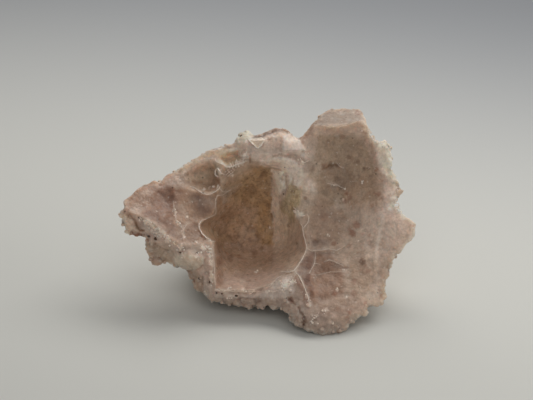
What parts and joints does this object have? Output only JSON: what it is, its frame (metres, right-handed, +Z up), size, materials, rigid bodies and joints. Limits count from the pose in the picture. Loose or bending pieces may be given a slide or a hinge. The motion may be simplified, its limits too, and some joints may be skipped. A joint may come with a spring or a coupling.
{
  "type": "quartz epimorph",
  "caption": "Hollow crust of milky quartz that grew over crystals which dissolved, with smooth casts inside and a lumpy drusy skin outside.",
  "frame": {"origin": "middle of the bounding box, on the surface that the crust rests on", "axes": "+Z up, +X to the right along the longest side as seen from the hollow side, which faces -Y and leans back"},
  "size_m": [0.1014, 0.06, 0.0587],
  "materials": {
    "quartz": "milky, slightly see-through, sugary"
  },
  "bodies": {
    "root": {"quartz_crust": "quartz"}
  },
  "joints": []
}
